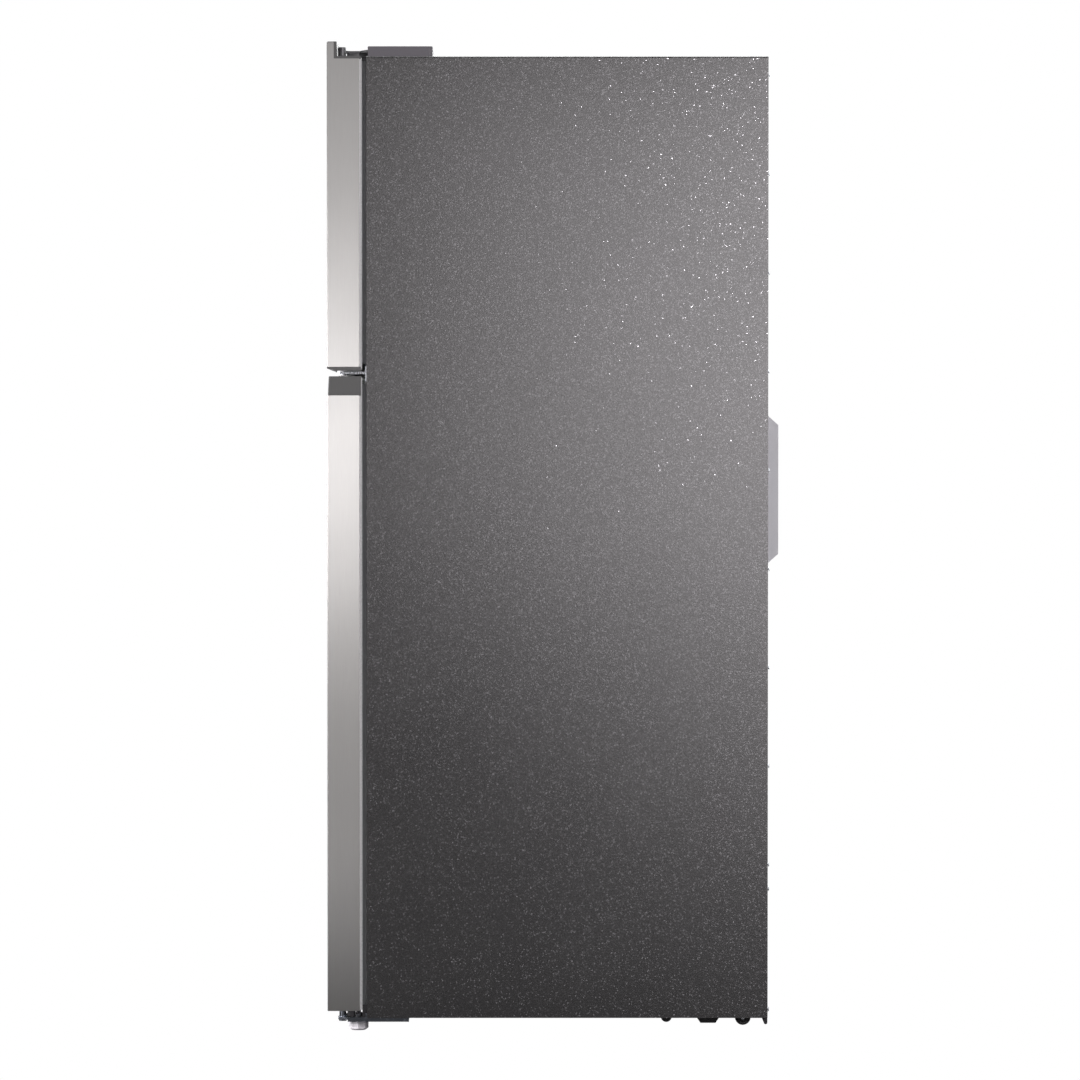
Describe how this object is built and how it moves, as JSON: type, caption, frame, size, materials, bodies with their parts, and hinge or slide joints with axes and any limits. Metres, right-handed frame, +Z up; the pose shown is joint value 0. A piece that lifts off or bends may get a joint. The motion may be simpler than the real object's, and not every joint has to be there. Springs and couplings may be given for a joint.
{
  "type": "top freezer refrigerator",
  "caption": "Free-standing refrigerator with a small upper freezer door and a tall lower fresh food door, pocket grips, inner shelves, crisper drawers and a rear cooling unit.",
  "frame": {"origin": "on the floor under the middle of the appliance's bounding box", "axes": "+Z up, -Y towards the person opening the doors, +X towards the hinge side of both doors"},
  "size_m": [0.755, 0.771, 1.68],
  "materials": {
    "dark_painted_steel": "dark grey textured paint",
    "door_steel": "vertical brushed, satin",
    "foam": "rigid polyurethane foam",
    "white_liner": "semi gloss moulded",
    "white_plastic": "semi gloss moulded",
    "black_steel": "satin black paint",
    "galvanised_sheet": "matt zinc coated",
    "pale_grey_plastic": "matt moulded",
    "grey_plastic": "fine matt moulded",
    "dark_plastic": "matt moulded",
    "dark_hinge": "satin coated steel",
    "zinc": "bright zinc plate",
    "rubber": "matt",
    "gasket_vinyl": "soft satin vinyl",
    "copper": "drawn tube",
    "aluminium": "mill finish",
    "shelf_glass": "polished",
    "clear_plastic": "clear moulded",
    "lamp_lens": "frosted"
  },
  "bodies": {
    "cabinet": {"cabinet_wrapper": "dark_painted_steel", "insulation": "foam", "fridge_liner": "white_liner", "freezer_liner": "white_liner", "mullion_trim": "dark_painted_steel", "bottom_panel": "black_steel", "back_panel": "galvanised_sheet", "compartment_cover": "galvanised_sheet", "control_cover": "pale_grey_plastic", "compressor_base_plate": "black_steel", "roller_pins": "zinc", "compressor": "black_steel", "compressor_grommets": "rubber", "condenser_coil": "black_steel", "drain_pan": "grey_plastic", "condenser_fan_motor": "grey_plastic", "refrigerant_lines": "copper", "evaporator": "aluminium", "evaporator_cover": "white_liner", "evaporator_fan_motor": "zinc", "air_duct_cover": "white_liner", "lamp_cover": "lamp_lens", "fridge_glass_shelves": "shelf_glass", "freezer_shelf": "shelf_glass", "shelf_trims": "white_plastic", "crisper_frame": "white_plastic", "top_hinge": "dark_hinge", "top_hinge_cover": "dark_plastic", "middle_hinge": "zinc", "bottom_hinge": "zinc", "left_foot_bracket": "zinc", "hinge_screws": "zinc", "cord_gland": "rubber"},
    "freezer_door": {"freezer_door_skin": "door_steel", "freezer_door_top_cap": "grey_plastic", "freezer_door_bottom_cap": "grey_plastic", "freezer_door_foam": "foam", "freezer_door_liner": "white_liner", "freezer_door_gasket": "gasket_vinyl", "freezer_door_bins": "clear_plastic", "freezer_door_bushes": "white_plastic"},
    "fridge_door": {"fridge_door_skin": "door_steel", "fridge_door_top_cap": "grey_plastic", "fridge_door_bottom_cap": "grey_plastic", "fridge_door_foam": "foam", "fridge_door_liner": "white_liner", "fridge_door_gasket": "gasket_vinyl", "fridge_door_bins": "clear_plastic", "fridge_door_bushes": "white_plastic", "door_closer": "dark_plastic"},
    "left_crisper": {"crisper_left": "clear_plastic"},
    "right_crisper": {"crisper_right": "clear_plastic"},
    "left_roller": {"rear_roller_left": "dark_plastic"},
    "right_roller": {"rear_roller_right": "dark_plastic"},
    "left_foot": {"levelling_foot_left": "pale_grey_plastic"},
    "right_foot": {"levelling_foot_right": "pale_grey_plastic"},
    "condenser_fan": {"condenser_fan_blade": "dark_plastic"},
    "evaporator_fan": {"evaporator_fan_blade": "white_plastic"},
    "fridge_knob": {"fridge_control_knob": "white_plastic"},
    "freezer_knob": {"freezer_control_knob": "white_plastic"}
  },
  "joints": [
    {"name": "freezer_door_hinge", "type": "hinge", "parent": "cabinet", "child": "freezer_door", "pos_m": [0.3555, -0.3605, 1.39], "axis": [0, 0, 1], "range_deg": [0, 125]},
    {"name": "fridge_door_hinge", "type": "hinge", "parent": "cabinet", "child": "fridge_door", "pos_m": [0.3555, -0.3605, 0.576], "axis": [0, 0, 1], "range_deg": [0, 125]},
    {"name": "crisper_left_slide", "type": "slide", "parent": "cabinet", "child": "left_crisper", "axis": [0, -1, 0], "range_m": [0, 0.25]},
    {"name": "crisper_right_slide", "type": "slide", "parent": "cabinet", "child": "right_crisper", "axis": [0, -1, 0], "range_m": [0, 0.25]},
    {"name": "roller_left_spin", "type": "hinge", "parent": "cabinet", "child": "left_roller", "pos_m": [-0.2675, 0.3244, 0.0135], "axis": [1, 0, 0], "continuous": true},
    {"name": "roller_right_spin", "type": "hinge", "parent": "cabinet", "child": "right_roller", "pos_m": [0.2675, 0.3244, 0.0135], "axis": [1, 0, 0], "continuous": true},
    {"name": "foot_left_adjust", "type": "slide", "parent": "cabinet", "child": "left_foot", "axis": [0, 0, -1], "range_m": [0, 0.008]},
    {"name": "foot_right_adjust", "type": "slide", "parent": "cabinet", "child": "right_foot", "axis": [0, 0, -1], "range_m": [0, 0.008]},
    {"name": "condenser_fan_spin", "type": "hinge", "parent": "cabinet", "child": "condenser_fan", "pos_m": [0.04, 0.25, 0.135], "axis": [1, 0, 0], "continuous": true},
    {"name": "evaporator_fan_spin", "type": "hinge", "parent": "cabinet", "child": "evaporator_fan", "pos_m": [0, 0.2605, 1.49], "axis": [0, 1, 0], "continuous": true},
    {"name": "fridge_control_turn", "type": "hinge", "parent": "cabinet", "child": "fridge_knob", "pos_m": [0, 0.2865, 0.945], "axis": [0, -1, 0], "range_deg": [0, 270]},
    {"name": "freezer_control_turn", "type": "hinge", "parent": "cabinet", "child": "freezer_knob", "pos_m": [0.25, 0.236, 1.22], "axis": [0, -1, 0], "range_deg": [0, 270]}
  ],
  "couplings": [
    {"joint": "crisper_left_slide", "follows": "fridge_door_hinge", "m_per_rad": 0.1145},
    {"joint": "crisper_right_slide", "follows": "fridge_door_hinge", "m_per_rad": 0.1145}
  ]
}
